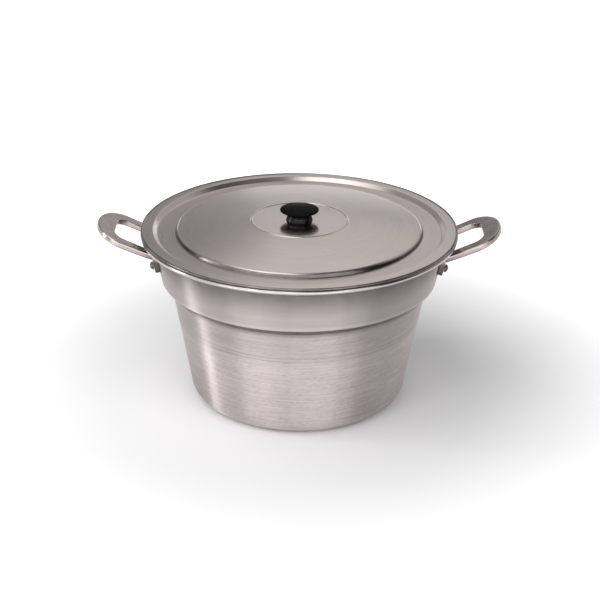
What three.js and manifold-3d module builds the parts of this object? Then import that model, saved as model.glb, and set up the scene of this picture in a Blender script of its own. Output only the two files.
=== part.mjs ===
// A stockpot with a lift-off lid: a spun aluminium pot whose wide collar steps in to a
// tapered body, two cast loop handles riveted under the rim, and a stepped lid whose
// knob is screwed on from below.
// Millimetres, +Z up, origin at the centre of the base, handles along X.
import * as THREE from 'three';
import { mergeVertices } from 'three/addons/utils/BufferGeometryUtils.js';
import Module from 'manifold-3d';

const wasm = await Module();
wasm.setup();

const degrees = THREE.MathUtils.degToRad;

// Clearance between touching pieces, and facets
const GAP = 0.3;
const POT_FACETS = 48;
const KNOB_FACETS = 24;
const FASTENER_FACETS = 12;
const ARC_STEP = degrees(32);
const DOME_STEPS = 5;
const LOOP_STEPS = 6;
const EDGE_STEPS = 2;
const FOOT_STEPS = 3;

// Pot, measured outside
const POT_HEIGHT = 202.7;
const RIM_DIAMETER = 361.8;
const RIM_BEAD = 5;
const WALL = 2;
const FLANGE_RISE = degrees(30);
const NECK_FILLET = 6;
const COLLAR_FLARE = degrees(11);
const COLLAR_HEIGHT = 56.3;
const SHOULDER_INSET = 23;
const SHOULDER_FILLET = 3;
const LEDGE_WIDTH = 10.9;
const LEDGE_DROP = 8.5;
const LEDGE_FILLET = 2.5;
const BASE_RADIUS = 122.6;
const BASE_FILLET = 21.5;

// Handles
const HANDLE_TILT = degrees(24);
const HANDLE_DROP = 15.6;
const HANDLE_REACH = 53.4;
const HANDLE_WIDTH = 84;
const HANDLE_NOSE = 31;
const HANDLE_THICKNESS = 7;
const HANDLE_EDGE = 2.2;
const GRIP_WIDTH = 22;
const ARM_SPACING = 64;
const ARM_WIDTH = 11;
const HOLE_CORNER = 13;
const FOOT_WIDTH = 20;
const FOOT_THICKNESS = 5;
const FOOT_CORNER = 6;
const FOOT_ABOVE_ARM = 5.5;
const FOOT_BELOW_RIVET = 8;

// Rivets
const RIVET_BELOW_ARM = 11;
const RIVET_SHANK = 5.2;
const RIVET_HEAD = 9.6;
const RIVET_HEAD_HEIGHT = 4;
const RIVET_TAIL = 9;
const RIVET_TAIL_HEIGHT = 2;

// Lid, measured on its top face
const LID_INSET = 0.7;
const LID_BEAD = 2.6;
const LID_WALL = 1.2;
const LID_FILLET = 1.6;
const WELL_INSET = 14.5;
const WELL_RUN = 2;
const WELL_DEPTH = 3.9;
const STEP_OUTER_RADIUS = 141.2;
const STEP_INNER_RADIUS = 134;
const STEP_HEIGHT = 4.2;
const DOME_RISE = 7.8;
const RING_RADIUS = 54.6;
const RING_WIDTH = 2.4;
const RING_HEIGHT = 0.6;

// Knob and its fixing
const KNOB_DIAMETER = 44.2;
const KNOB_HEIGHT = 13.9;
const KNOB_EDGE_HEIGHT = 12.5;
const KNOB_EDGE = 1.5;
const KNOB_NECK = 29.6;
const KNOB_WAIST = 27.4;
const KNOB_WAIST_HEIGHT = 7.4;
const KNOB_FILLET = 0.9;
const INSERT_DIAMETER = 10;
const INSERT_LENGTH = 7;
const SCREW_DIAMETER = 5;
const SCREW_GRIP = 6;
const SCREW_HEAD = 9.2;
const SCREW_HEAD_HEIGHT = 2.8;
const SCREW_EDGE = 0.8;
const SLOT_WIDTH = 1.2;
const SLOT_DEPTH = 1.2;
const WASHER_DIAMETER = 15;
const WASHER_THICKNESS = 1;

// Finishes
const SPUN_ALUMINIUM = { color: 0xb9b4b1, roughness: 0.34, metalness: 1 };
const PRESSED_ALUMINIUM = { color: 0xb4adaa, roughness: 0.3, metalness: 1 };
const CAST_ALUMINIUM = { color: 0xc2b8b3, roughness: 0.24, metalness: 1 };
const RIVET_ALUMINIUM = { color: 0xaaa6a3, roughness: 0.4, metalness: 1 };
const BLACK_PHENOLIC = { color: 0x121212, roughness: 0.3, metalness: 0 };
const BRASS = { color: 0xb08d48, roughness: 0.35, metalness: 1 };
const PLATED_STEEL = { color: 0xa4a6a8, roughness: 0.35, metalness: 1 };

// Profiles are drawn with the radius across and the height up.
const point = (radius, height) => new THREE.Vector2(radius, height);
const heading = (from, to) => to.clone().sub(from).normalize();
const leftOf = (along) => point(-along.y, along.x);
const step = (from, along, distance) => from.clone().addScaledVector(along, distance);

// Where two straight lines meet.
function crossing(from, along, other, otherAlong) {
  const apart = other.clone().sub(from);
  return step(from, along, apart.cross(otherAlong) / along.cross(otherAlong));
}

// The points of an arc, both ends included.
function arc(centre, radius, start, sweep) {
  const steps = Math.max(1, Math.ceil(Math.abs(sweep) / ARC_STEP));
  return Array.from({ length: steps + 1 }, (_, i) => {
    const angle = start + (sweep * i) / steps;
    return point(centre.x + radius * Math.cos(angle), centre.y + radius * Math.sin(angle));
  });
}

// A line of corners with each corner rounded by its own fillet.
function rounded(corners) {
  return corners.flatMap(({ at, fillet = 0 }, i) => {
    if (fillet === 0) {
      return [at.clone()];
    }
    const into = heading(corners[i - 1].at, at);
    const out = heading(at, corners[i + 1].at);
    const turn = Math.atan2(into.cross(out), into.dot(out));
    const side = Math.sign(turn);
    const start = step(at, into, -fillet * Math.tan(Math.abs(turn) / 2));
    const centre = step(start, leftOf(into), side * fillet);
    const radial = leftOf(into).multiplyScalar(-side);
    return arc(centre, fillet, radial.angle(), turn);
  });
}

// The same line of corners moved sideways, left of its heading when the distance is positive.
function offset(corners, distance) {
  return corners.map(({ at, fillet = 0 }, i) => {
    const before = corners[Math.max(i, 1) - 1].at;
    const after = corners[Math.min(i, corners.length - 2) + 1].at;
    const into = i > 0 ? heading(before, at) : heading(at, after);
    const out = i < corners.length - 1 ? heading(at, after) : into;
    const side = leftOf(into).add(leftOf(out));
    const moved = step(at, side, distance / (1 + into.dot(out)));
    const radius = fillet - Math.sign(into.cross(out)) * distance;
    return { at: moved, fillet: fillet === 0 ? 0 : Math.max(radius, 0) };
  });
}

// A rolled edge on a sheet: the bead from the sheet's right side round to its left side.
function bead(centre, radius, along, sheet) {
  const half = Math.asin(sheet / 2 / radius);
  return arc(centre, radius, along.angle() - Math.PI + half, 2 * (Math.PI - half));
}

// The point where the sheet's right side runs into that bead.
function beadEntry(centre, radius, along, sheet) {
  return bead(centre, radius, along, sheet)[0];
}

// A profile turned about the Z axis.
function turned(profile, facets) {
  return new THREE.LatheGeometry(profile, facets).rotateX(Math.PI / 2);
}

// A closed body for joining and cutting, with shared vertices merged and poles made clean.
function solidOf(geometry) {
  const bare = geometry.clone();
  bare.deleteAttribute('normal');
  bare.deleteAttribute('uv');
  const merged = mergeVertices(bare);
  const corners = [];
  for (let i = 0; i < merged.index.count; i += 3) {
    const [a, b, c] = merged.index.array.slice(i, i + 3);
    if (a !== b && b !== c && c !== a) {
      corners.push(a, b, c);
    }
  }
  return new wasm.Manifold(new wasm.Mesh({
    numProp: 3,
    vertProperties: new Float32Array(merged.attributes.position.array),
    triVerts: new Uint32Array(corners),
  }));
}

// The mesh of a joined or cut body.
function geometryOf(solid) {
  const { vertProperties, triVerts } = solid.getMesh();
  const geometry = new THREE.BufferGeometry();
  geometry.setAttribute('position', new THREE.BufferAttribute(vertProperties, 3));
  geometry.setIndex(new THREE.BufferAttribute(triVerts, 1));
  geometry.computeVertexNormals();
  return geometry;
}

// A named piece with its own finish.
function piece(name, geometry, finish) {
  const mesh = new THREE.Mesh(geometry, new THREE.MeshStandardMaterial(finish));
  mesh.name = name;
  return mesh;
}

// Pot outline, from the middle of the base out and up to the rim
const rimRadius = RIM_DIAMETER / 2;
const rimCentre = point(rimRadius - RIM_BEAD / 2, POT_HEIGHT - RIM_BEAD / 2);
const flangeAlong = point(Math.cos(FLANGE_RISE), Math.sin(FLANGE_RISE));
const collarAlong = point(Math.sin(COLLAR_FLARE), Math.cos(COLLAR_FLARE));
const shoulder = point(rimRadius - SHOULDER_INSET, POT_HEIGHT - COLLAR_HEIGHT);
const ledgeFoot = point(shoulder.x - LEDGE_WIDTH, shoulder.y - LEDGE_DROP);
const flangeUnder = step(rimCentre, leftOf(flangeAlong), -WALL / 2);
const neck = crossing(shoulder, collarAlong, flangeUnder, flangeAlong);
const potCorners = [
  { at: point(0, 0) },
  { at: point(BASE_RADIUS, 0), fillet: BASE_FILLET },
  { at: ledgeFoot, fillet: LEDGE_FILLET },
  { at: shoulder, fillet: SHOULDER_FILLET },
  { at: neck, fillet: NECK_FILLET },
  { at: beadEntry(rimCentre, RIM_BEAD / 2, flangeAlong, WALL) },
];

// The collar's outer radius at a height.
const collarRadius = (height) => shoulder.x + (height - shoulder.y) * Math.tan(COLLAR_FLARE);

// Where the handles' arms meet the collar
const handleCentre = new THREE.Vector3(rimRadius, 0, POT_HEIGHT - HANDLE_DROP);
const armRise = Math.tan(HANDLE_TILT);
const rootHeight = handleCentre.z - (rimRadius - collarRadius(handleCentre.z)) * armRise;
const footRadius = collarRadius(rootHeight) + FOOT_THICKNESS / 2;
const footTurn = Math.asin(ARM_SPACING / 2 / footRadius);
const rootReach = (footRadius * Math.cos(footTurn) - rimRadius) / Math.cos(HANDLE_TILT);
const rivetHeight = rootHeight - RIVET_BELOW_ARM;
const footFace = GAP + FOOT_THICKNESS;

// A frame on the collar at a rivet: X along the rim, Y up the wall, Z square out of it.
function rivetFrame(turn) {
  const along = new THREE.Vector3(-Math.sin(turn), Math.cos(turn), 0);
  const radial = new THREE.Vector3(Math.cos(turn), Math.sin(turn), 0);
  const square = radial.clone().multiplyScalar(Math.cos(COLLAR_FLARE));
  square.z = -Math.sin(COLLAR_FLARE);
  const up = new THREE.Vector3().crossVectors(square, along);
  const origin = radial.clone().multiplyScalar(collarRadius(rivetHeight));
  origin.z = rivetHeight;
  return new THREE.Matrix4().makeBasis(along, up, square).setPosition(origin);
}

// A drill for a rivet's hole through foot and wall.
function rivetDrill(turn) {
  const radius = RIVET_SHANK / 2 + GAP;
  const length = 2 * (footFace + WALL + RIVET_SHANK);
  const drill = new THREE.CylinderGeometry(radius, radius, length, FASTENER_FACETS);
  return solidOf(drill.rotateX(Math.PI / 2).applyMatrix4(rivetFrame(turn)));
}

// Pot body: the wall follows the outline inside at its own thickness
function potBody() {
  const outside = rounded(potCorners);
  const inside = rounded(offset(potCorners, WALL));
  const rim = bead(rimCentre, RIM_BEAD / 2, flangeAlong, WALL);
  const profile = [...outside.slice(0, -1), ...rim, ...inside.reverse().slice(1)];
  const turns = [footTurn, -footTurn, Math.PI - footTurn, Math.PI + footTurn];
  const drilled = turns.reduce(
    (body, turn) => body.subtract(rivetDrill(turn)),
    solidOf(turned(profile, POT_FACETS)),
  );
  return piece('pot_body', geometryOf(drilled), SPUN_ALUMINIUM);
}

// The loop of a handle, flat, with its reach along X from the rim
function loopOutline() {
  const outer = ARM_SPACING / 2 + ARM_WIDTH / 2;
  const inner = ARM_SPACING / 2 - ARM_WIDTH / 2;
  const hole = HANDLE_REACH - GRIP_WIDTH;
  const widest = HANDLE_REACH - HANDLE_NOSE;
  const bulge = (rootReach + widest) / 2;
  const loop = new THREE.Shape();
  loop.moveTo(rootReach, -outer);
  loop.quadraticCurveTo(bulge, -HANDLE_WIDTH / 2, widest, -HANDLE_WIDTH / 2);
  loop.absellipse(widest, 0, HANDLE_NOSE, HANDLE_WIDTH / 2, -Math.PI / 2, Math.PI / 2);
  loop.quadraticCurveTo(bulge, HANDLE_WIDTH / 2, rootReach, outer);
  loop.lineTo(rootReach, inner);
  loop.lineTo(hole - HOLE_CORNER, inner);
  loop.absarc(hole - HOLE_CORNER, inner - HOLE_CORNER, HOLE_CORNER, Math.PI / 2, 0, true);
  loop.absarc(hole - HOLE_CORNER, HOLE_CORNER - inner, HOLE_CORNER, 0, -Math.PI / 2, true);
  loop.lineTo(rootReach, -inner);
  return loop;
}

// The foot's outline on the collar, round its rivet
function footOutline() {
  const half = FOOT_WIDTH / 2;
  const low = -FOOT_BELOW_RIVET;
  const high = RIVET_BELOW_ARM + FOOT_ABOVE_ARM;
  const foot = new THREE.Shape();
  foot.absarc(half - FOOT_CORNER, low + FOOT_CORNER, FOOT_CORNER, -Math.PI / 2, 0);
  foot.absarc(half - FOOT_CORNER, high - FOOT_CORNER, FOOT_CORNER, 0, Math.PI / 2);
  foot.absarc(FOOT_CORNER - half, high - FOOT_CORNER, FOOT_CORNER, Math.PI / 2, Math.PI);
  foot.absarc(FOOT_CORNER - half, low + FOOT_CORNER, FOOT_CORNER, Math.PI, Math.PI * 1.5);
  return foot;
}

// A handle on the +X side: loop and feet joined, seated on the collar and drilled
function handleSolid() {
  const loop = new THREE.ExtrudeGeometry(loopOutline(), {
    depth: HANDLE_THICKNESS - 2 * HANDLE_EDGE,
    bevelThickness: HANDLE_EDGE,
    bevelSize: HANDLE_EDGE,
    bevelOffset: -HANDLE_EDGE,
    bevelSegments: EDGE_STEPS,
    curveSegments: LOOP_STEPS,
  });
  loop.translate(0, 0, HANDLE_EDGE - HANDLE_THICKNESS / 2);
  loop.rotateY(-HANDLE_TILT).translate(...handleCentre);
  const foot = new THREE.ExtrudeGeometry(footOutline(), {
    depth: footFace + FOOT_THICKNESS,
    bevelEnabled: false,
    curveSegments: FOOT_STEPS,
  });
  foot.translate(0, 0, -FOOT_THICKNESS);
  const seat = rounded(offset(potCorners, -GAP));
  seat.push(point(0, seat.at(-1).y));
  seat[0].x = 0;
  const turns = [footTurn, -footTurn];
  const joined = turns.reduce(
    (body, turn) => body.add(solidOf(foot.clone().applyMatrix4(rivetFrame(turn)))),
    solidOf(loop),
  );
  const seated = joined.subtract(solidOf(turned(seat, POT_FACETS)));
  return turns.reduce((body, turn) => body.subtract(rivetDrill(turn)), seated);
}

function handles() {
  const geometry = geometryOf(handleSolid());
  const right = piece('handle_right', geometry, CAST_ALUMINIUM);
  const left = piece('handle_left', geometry.clone(), CAST_ALUMINIUM);
  left.rotation.z = Math.PI;
  return [right, left];
}

// Rivets: a domed head on the foot, a shank and an upset tail inside the pot
function rivetProfile() {
  const wallRadius = collarRadius(rivetHeight);
  const facetSag = wallRadius * (1 - Math.cos(Math.PI / POT_FACETS));
  const curveSag = RIVET_TAIL ** 2 / (8 * wallRadius);
  const tailSeat = -(WALL + facetSag + curveSag + GAP);
  const headSeat = footFace + GAP;
  const dome = (radius, height, from, to) => arc(point(0, 0), 1, from, to - from)
    .map((unit) => point(Math.max(unit.x, 0) * radius, unit.y * height));
  const tail = dome(RIVET_TAIL / 2, RIVET_TAIL_HEIGHT, -Math.PI / 2, 0);
  const head = dome(RIVET_HEAD / 2, RIVET_HEAD_HEIGHT, 0, Math.PI / 2);
  const profile = [
    ...tail.map(({ x, y }) => point(x, y + tailSeat)),
    point(RIVET_SHANK / 2, tailSeat),
    point(RIVET_SHANK / 2, headSeat),
    ...head.map(({ x, y }) => point(x, y + headSeat)),
  ];
  profile[0].x = 0;
  profile.at(-1).x = 0;
  return profile;
}

function rivets() {
  const places = {
    rivet_right_front: -footTurn,
    rivet_right_back: footTurn,
    rivet_left_front: Math.PI + footTurn,
    rivet_left_back: Math.PI - footTurn,
  };
  return Object.entries(places).map(([name, turn]) => {
    const rivet = piece(name, turned(rivetProfile(), FASTENER_FACETS), RIVET_ALUMINIUM);
    rivet.applyMatrix4(rivetFrame(turn));
    return rivet;
  });
}

// Lid levels, from its seat on the rim bead up to the disc under the knob
const lidBeadCentre = point(rimRadius - LID_INSET - LID_BEAD / 2, POT_HEIGHT + GAP + LID_BEAD / 2);
const outward = point(1, 0);
const lidFlangeTop = lidBeadCentre.y + LID_WALL / 2;
const wellRadius = rimRadius - WELL_INSET;
const wellTop = lidFlangeTop - WELL_DEPTH;
const plateauTop = wellTop + STEP_HEIGHT;
const discTop = plateauTop + DOME_RISE;
const discUnder = discTop - LID_WALL;

// Lid: a pressed sheet, drawn on its top face from the screw hole out to the rolled edge
function lidShell() {
  const ringOuter = RING_RADIUS + RING_WIDTH / 2;
  const span = STEP_INNER_RADIUS ** 2 - ringOuter ** 2;
  const dome = Array.from({ length: DOME_STEPS - 1 }, (_, i) => {
    const radius = THREE.MathUtils.lerp(ringOuter, STEP_INNER_RADIUS, (i + 1) / DOME_STEPS);
    const rise = (DOME_RISE * (STEP_INNER_RADIUS ** 2 - radius ** 2)) / span;
    return { at: point(radius, plateauTop + rise) };
  });
  const entry = beadEntry(lidBeadCentre, LID_BEAD / 2, outward, LID_WALL);
  const top = [
    { at: point(SCREW_DIAMETER / 2 + GAP, discTop) },
    { at: point(RING_RADIUS - RING_WIDTH / 2, discTop) },
    { at: point(RING_RADIUS, discTop + RING_HEIGHT) },
    { at: point(ringOuter, discTop) },
    ...dome,
    { at: point(STEP_INNER_RADIUS, plateauTop), fillet: LID_FILLET },
    { at: point(STEP_OUTER_RADIUS, wellTop), fillet: LID_FILLET },
    { at: point(wellRadius - WELL_RUN, wellTop), fillet: LID_FILLET },
    { at: point(wellRadius, lidFlangeTop), fillet: LID_FILLET },
    { at: point(entry.x, lidFlangeTop) },
  ];
  const under = rounded(offset(top, -LID_WALL));
  const edge = bead(lidBeadCentre, LID_BEAD / 2, outward, LID_WALL);
  const profile = [...under.slice(0, -1), ...edge, ...rounded(top).reverse().slice(1), under[0].clone()];
  return piece('lid_shell', turned(profile, POT_FACETS), PRESSED_ALUMINIUM);
}

// Knob: a mushroom on a waisted neck, hollow below for its bush
function lidKnob() {
  const base = discTop + GAP;
  const bush = INSERT_DIAMETER / 2 + GAP;
  const ceiling = base + INSERT_LENGTH + GAP;
  const profile = rounded([
    { at: point(0, ceiling) },
    { at: point(bush, ceiling) },
    { at: point(bush, base) },
    { at: point(KNOB_NECK / 2, base), fillet: KNOB_FILLET },
    { at: point(KNOB_WAIST / 2, base + KNOB_WAIST_HEIGHT), fillet: KNOB_FILLET },
    { at: point(KNOB_DIAMETER / 2, base + KNOB_EDGE_HEIGHT - KNOB_EDGE), fillet: KNOB_FILLET },
    { at: point(KNOB_DIAMETER / 2, base + KNOB_EDGE_HEIGHT), fillet: KNOB_FILLET },
    { at: point(0, base + KNOB_HEIGHT) },
  ]);
  return piece('lid_knob', turned(profile, KNOB_FACETS), BLACK_PHENOLIC);
}

// A plain ring of rectangular section.
function ring(inner, outer, low, high) {
  const start = point(inner, low);
  const profile = [start, point(outer, low), point(outer, high), point(inner, high), start.clone()];
  return turned(profile, FASTENER_FACETS);
}

// Knob fixing: a bush in the knob, and a washer and a screw from under the lid
function knobFixing() {
  const base = discTop + GAP;
  const hole = SCREW_DIAMETER / 2 + GAP;
  const washerTop = discUnder - GAP;
  const headTop = washerTop - WASHER_THICKNESS - GAP;
  const headUnder = headTop - SCREW_HEAD_HEIGHT;
  const tip = base + SCREW_GRIP;
  const screw = solidOf(turned([
    point(0, headUnder),
    point(SCREW_HEAD / 2 - SCREW_EDGE, headUnder),
    point(SCREW_HEAD / 2, headUnder + SCREW_EDGE),
    point(SCREW_HEAD / 2, headTop),
    point(SCREW_DIAMETER / 2, headTop),
    point(SCREW_DIAMETER / 2, tip - SCREW_EDGE),
    point(SCREW_DIAMETER / 2 - SCREW_EDGE, tip),
    point(0, tip),
  ], FASTENER_FACETS));
  const slot = new THREE.BoxGeometry(2 * SCREW_HEAD, SLOT_WIDTH, 2 * SLOT_DEPTH);
  slot.translate(0, 0, headUnder);
  const insert = ring(hole, INSERT_DIAMETER / 2, base, base + INSERT_LENGTH);
  const washer = ring(hole, WASHER_DIAMETER / 2, washerTop - WASHER_THICKNESS, washerTop);
  return [
    piece('knob_insert', insert, BRASS),
    piece('knob_washer', washer, PLATED_STEEL),
    piece('knob_screw', geometryOf(screw.subtract(solidOf(slot))), PLATED_STEEL),
  ];
}

const pot = new THREE.Group();
pot.add(potBody(), ...handles(), ...rivets());

const lid = new THREE.Group();
lid.add(lidShell(), lidKnob(), ...knobFixing());

const stockpot = new THREE.Group();
stockpot.add(pot, lid);

export default stockpot;
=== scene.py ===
"""A stockpot with a lift-off lid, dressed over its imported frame.

Metres, +Z up, origin at the centre of the base, handles along X. The sizes in the
dataclasses are millimetres, as in the part's source, apart from those of the finishes
and the studio's lamps and camera, which are metres.
"""

import cmath
import logging
from collections.abc import Callable, Mapping, Sequence
from dataclasses import dataclass, field
from enum import Enum, IntEnum
from functools import cached_property
from math import asin, ceil, copysign, cos, pi, radians, sin, tan
from typing import Any, Union

import bmesh
import bpy
import numpy as np
from bpy.types import ID, Material, Mesh, Node, NodeSocket, NodeTree, Object
from mathutils import Matrix, Vector


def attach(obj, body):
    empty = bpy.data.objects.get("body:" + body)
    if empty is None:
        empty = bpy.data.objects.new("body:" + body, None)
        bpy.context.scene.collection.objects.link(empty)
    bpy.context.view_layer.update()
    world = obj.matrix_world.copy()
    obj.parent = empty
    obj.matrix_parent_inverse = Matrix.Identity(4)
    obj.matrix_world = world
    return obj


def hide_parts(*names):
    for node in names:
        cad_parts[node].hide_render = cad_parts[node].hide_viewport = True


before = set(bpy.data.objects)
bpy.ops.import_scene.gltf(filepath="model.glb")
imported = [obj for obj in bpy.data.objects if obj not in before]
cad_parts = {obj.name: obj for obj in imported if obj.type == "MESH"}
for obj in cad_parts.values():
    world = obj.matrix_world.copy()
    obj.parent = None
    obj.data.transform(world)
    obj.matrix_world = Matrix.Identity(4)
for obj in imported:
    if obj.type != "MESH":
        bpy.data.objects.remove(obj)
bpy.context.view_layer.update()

LOG = logging.getLogger("stockpot")

MM = 0.001
TINY = 1e-6
GAP = 0.3
LEAST_FILLET = 0.05
TURN = 2 * pi
QUARTER = pi / 2
ARC_STEP = radians(9)
BEAD_STEP = radians(14)
SHARP_EDGE = radians(40)
LINES_RUN_ROUND = 0.25
WHITE = (1.0, 1.0, 1.0)

Colour = tuple[float, float, float]
Number = Union["Value", float]


# Node trees


def arithmetic(operation: str) -> tuple[Callable[..., "Value"], Callable[..., "Value"]]:
    """Makes an operator of Value.

    Args:
        operation: the Math node's operation.

    Returns:
        The operator, and its reflected form for a plain number on the left.
    """

    def plain(self: "Value", other: Number) -> "Value":
        """Adds the Math node."""
        return self.net.math(operation, self, other)

    def reflected(self: "Value", other: Number) -> "Value":
        """Adds the Math node with the plain number first."""
        return self.net.math(operation, other, self)

    return plain, reflected


class Value:
    """A node's output, whose arithmetic adds Math nodes to its tree."""

    def __init__(self, net: "Net", node: Node, key: str | int = 0) -> None:
        """Keeps the tree, the node and which of its outputs this is."""
        self.net, self.node, self.key = net, node, key

    __add__, __radd__ = arithmetic("ADD")
    __sub__, __rsub__ = arithmetic("SUBTRACT")
    __mul__, __rmul__ = arithmetic("MULTIPLY")
    __truediv__, __rtruediv__ = arithmetic("DIVIDE")
    __pow__, __rpow__ = arithmetic("POWER")

    @property
    def socket(self) -> NodeSocket:
        """The output's socket."""
        return self.node.outputs[self.key]

    def out(self, key: str | int) -> "Value":
        """Another output of the same node."""
        return Value(self.net, self.node, key)

    def floor(self) -> "Value":
        """The whole number below."""
        return self.net.math("FLOOR", self)

    def most(self, other: Number) -> "Value":
        """The larger of two."""
        return self.net.math("MAXIMUM", self, other)

    def least(self, other: Number) -> "Value":
        """The smaller of two."""
        return self.net.math("MINIMUM", self, other)

    def eased(self, low: float, high: float) -> "Value":
        """A smooth step, 0 up to the low number and 1 from the high one on."""
        sockets = {"Value": self, "From Min": low, "From Max": high}
        return self.net.node("ShaderNodeMapRange", sockets, interpolation_type="SMOOTHSTEP")

    def ridge(self, at: float, half_width: float) -> "Value":
        """A smooth hump, 1 at its middle and 0 beyond its half width."""
        return 1 - self.net.math("ABSOLUTE", self - at).eased(0.0, half_width)


class Net:
    """A node tree, with one way of adding a node to it."""

    def __init__(self, tree: NodeTree) -> None:
        """Keeps the tree."""
        self.tree = tree

    def node(
        self, kind: str, sockets: Mapping[str | int, Any] | None = None, **settings: Any
    ) -> Value:
        """Adds a node.

        Args:
            kind: the node's type.
            sockets: a plain value or a link for each input, by index where names repeat.
            settings: its properties, which are set first.

        Returns:
            The node's first output.
        """
        made = self.tree.nodes.new(kind)
        for name, setting in settings.items():
            setattr(made, name, setting)
        for key, given in (sockets or {}).items():
            socket = made.inputs[key]
            if isinstance(given, Value):
                self.tree.links.new(given.socket, socket)
            else:
                socket.default_value = (*given, 1.0) if socket.type == "RGBA" else given
        return Value(self, made)

    def math(self, operation: str, *operands: Number) -> Value:
        """Adds a Math node that takes its operands in order."""
        return self.node("ShaderNodeMath", dict(enumerate(operands)), operation=operation)

    def vector(self, *parts: Number) -> Value:
        """Makes a vector of three numbers."""
        return self.node("ShaderNodeCombineXYZ", dict(enumerate(parts)))

    def split(self, vector: Value) -> list[Value]:
        """Takes a vector apart."""
        parts = self.node("ShaderNodeSeparateXYZ", {0: vector})
        return [parts.out(i) for i in range(3)]


# Finishes, whose patterns are weighed so that a tone runs from 0 to 1


class Paint(Net):
    """A material's tree, with the patterns that the finishes share."""

    def __init__(self, name: str) -> None:
        """Starts an empty material."""
        self.material = bpy.data.materials.new(name)
        self.material.use_nodes = True
        super().__init__(self.material.node_tree)
        self.tree.nodes.clear()
        self.place = self.node("ShaderNodeTexCoord").out("Object")
        self.x, self.y, self.z = self.split(self.place)

    @cached_property
    def radius(self) -> Value:
        """The distance from the pot's axis."""
        return (self.x * self.x + self.y * self.y) ** 0.5

    def noise(self, scale: float, detail: float, place: Value | None = None) -> Value:
        """Noise from 0 to 1, with so many features to the metre and so many octaves."""
        sockets = {"Vector": place or self.place, "Scale": scale, "Detail": detail}
        return self.node("ShaderNodeTexNoise", sockets)

    def grain(self, across: Value, pitch: float, around: float, detail: float = 2.0) -> Value:
        """Lines that run round the axis.

        Args:
            across: the coordinate that crosses the lines.
            pitch: the lines' spacing in metres.
            around: how often a line changes on its way round.
            detail: octaves.

        Returns:
            A number from 0 to 1.
        """
        radius = self.radius.most(TINY)
        x, y = self.x / radius * around, self.y / radius * around
        return self.noise(1.0, detail, self.vector(x, y, across / pitch))

    def blend(self, factor: Number, low: Any, high: Any) -> Value:
        """Mixes two colours, each a plain colour or a link, by a factor."""
        return self.node("ShaderNodeMix", {0: factor, 6: low, 7: high}, data_type="RGBA").out(2)

    def relief(self, height: Value, depth: float, strength: float) -> Value:
        """The normal of fine relief, so many metres deep, of which a share shows."""
        sockets = {"Height": height, "Distance": depth, "Strength": strength}
        return self.node("ShaderNodeBump", sockets)

    def ended(self, shader: Value) -> Material:
        """Ends the tree in a shader and gives the material."""
        self.node("ShaderNodeOutputMaterial", {"Surface": shader})
        return self.material

    def surface(self, **sockets: Any) -> Material:
        """Ends the tree in a Principled shader, with _ for each space in its inputs' names."""
        named = {key.replace("_", " "): given for key, given in sockets.items()}
        return self.ended(self.node("ShaderNodeBsdfPrincipled", named))


class Across(Enum):
    """What a painted band is measured by."""

    HEIGHT = "height"
    RADIUS = "radius"


@dataclass(frozen=True)
class PaintedShading:
    """Painted shade, or a painted highlight when light, in a band: where it starts, is full, ends
    and is gone.
    """

    colour: Colour
    strength: float
    start: float
    full: float
    ends: float
    gone: float
    across: Across = Across.HEIGHT

    def over(self, paint: Paint, colour: Value) -> Value:
        """Lays the painted shade over a colour.

        Args:
            paint: the material's tree.
            colour: what lies under the painted shade.

        Returns:
            The colour with its painted shade.
        """
        at = paint.z if self.across is Across.HEIGHT else paint.radius
        band = at.eased(self.start, self.full) * (1 - at.eased(self.ends, self.gone))
        patchy = 0.8 + 0.4 * paint.noise(scale=60.0, detail=3.0)
        # painted shade or highlight, laid into the base colour across the band
        return paint.blend((band * patchy * self.strength).least(1.0), colour, self.colour)


@dataclass(frozen=True)
class Finish:
    """What every finish of the pot has: two tones, a roughness and the painted shade and highlights
    on it.
    """

    name: str
    light: Colour
    dark: Colour
    roughness: float
    painted_shading: tuple[PaintedShading, ...] = ()
    anisotropy: float = 0.0

    def toned(self, paint: Paint, tone: Value, spread: float) -> Value:
        """The colour, dark to light over a spread of tones each side of the middle."""
        return paint.blend(tone.eased(0.5 - spread, 0.5 + spread), self.dark, self.light)

    def metal(self, paint: Paint, colour: Value, rough: Value, normal: Value) -> Material:
        """Lays the painted shade and highlights and ends the tree as metal.

        Args:
            paint: the material's tree.
            colour: the metal's own colour.
            rough: its roughness.
            normal: its fine relief.

        Returns:
            The material.
        """
        # painted shade and highlights laid over the metal's own colour
        for painted_band in self.painted_shading:
            colour = painted_band.over(paint, colour)
        sockets = {"Base_Color": colour, "Metallic": 1.0, "Roughness": rough, "Normal": normal}
        if self.anisotropy:
            sockets["Anisotropic"] = self.anisotropy
            sockets["Anisotropic_Rotation"] = LINES_RUN_ROUND
        return paint.surface(**sockets)


@dataclass(frozen=True)
class BrushedSheet(Finish):
    """Bright sheet aluminium with fine lines that run round it."""

    pitch: float = 0.0004
    scratch: float = 0.14
    polished_within: float = 0.0
    polish: float = 0.0
    polish_edge: float = 0.002

    def material(self) -> Material:
        """Builds the material.

        Returns:
            The material.
        """
        paint = Paint(self.name)
        across = paint.radius + paint.z
        fine = paint.grain(across, self.pitch, around=1.5)
        broad = paint.grain(across, 14 * self.pitch, around=2.5, detail=3.0)
        cloud = paint.noise(scale=9.0, detail=3.0)
        streak = 0.55 * fine + 0.45 * broad
        rough = self.roughness + 2 * self.scratch * (streak - 0.5) + 0.06 * (cloud - 0.5)
        if self.polished_within:
            low, high = (self.polished_within + side * self.polish_edge for side in (-1, 1))
            rough = rough - self.polish * (1 - paint.radius.eased(low, high))
        colour = self.toned(paint, 0.45 * fine + 0.35 * broad + 0.2 * cloud, spread=0.25)
        normal = paint.relief(fine, depth=0.00002, strength=2 * self.scratch)
        return self.metal(paint, colour, rough, normal)


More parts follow.
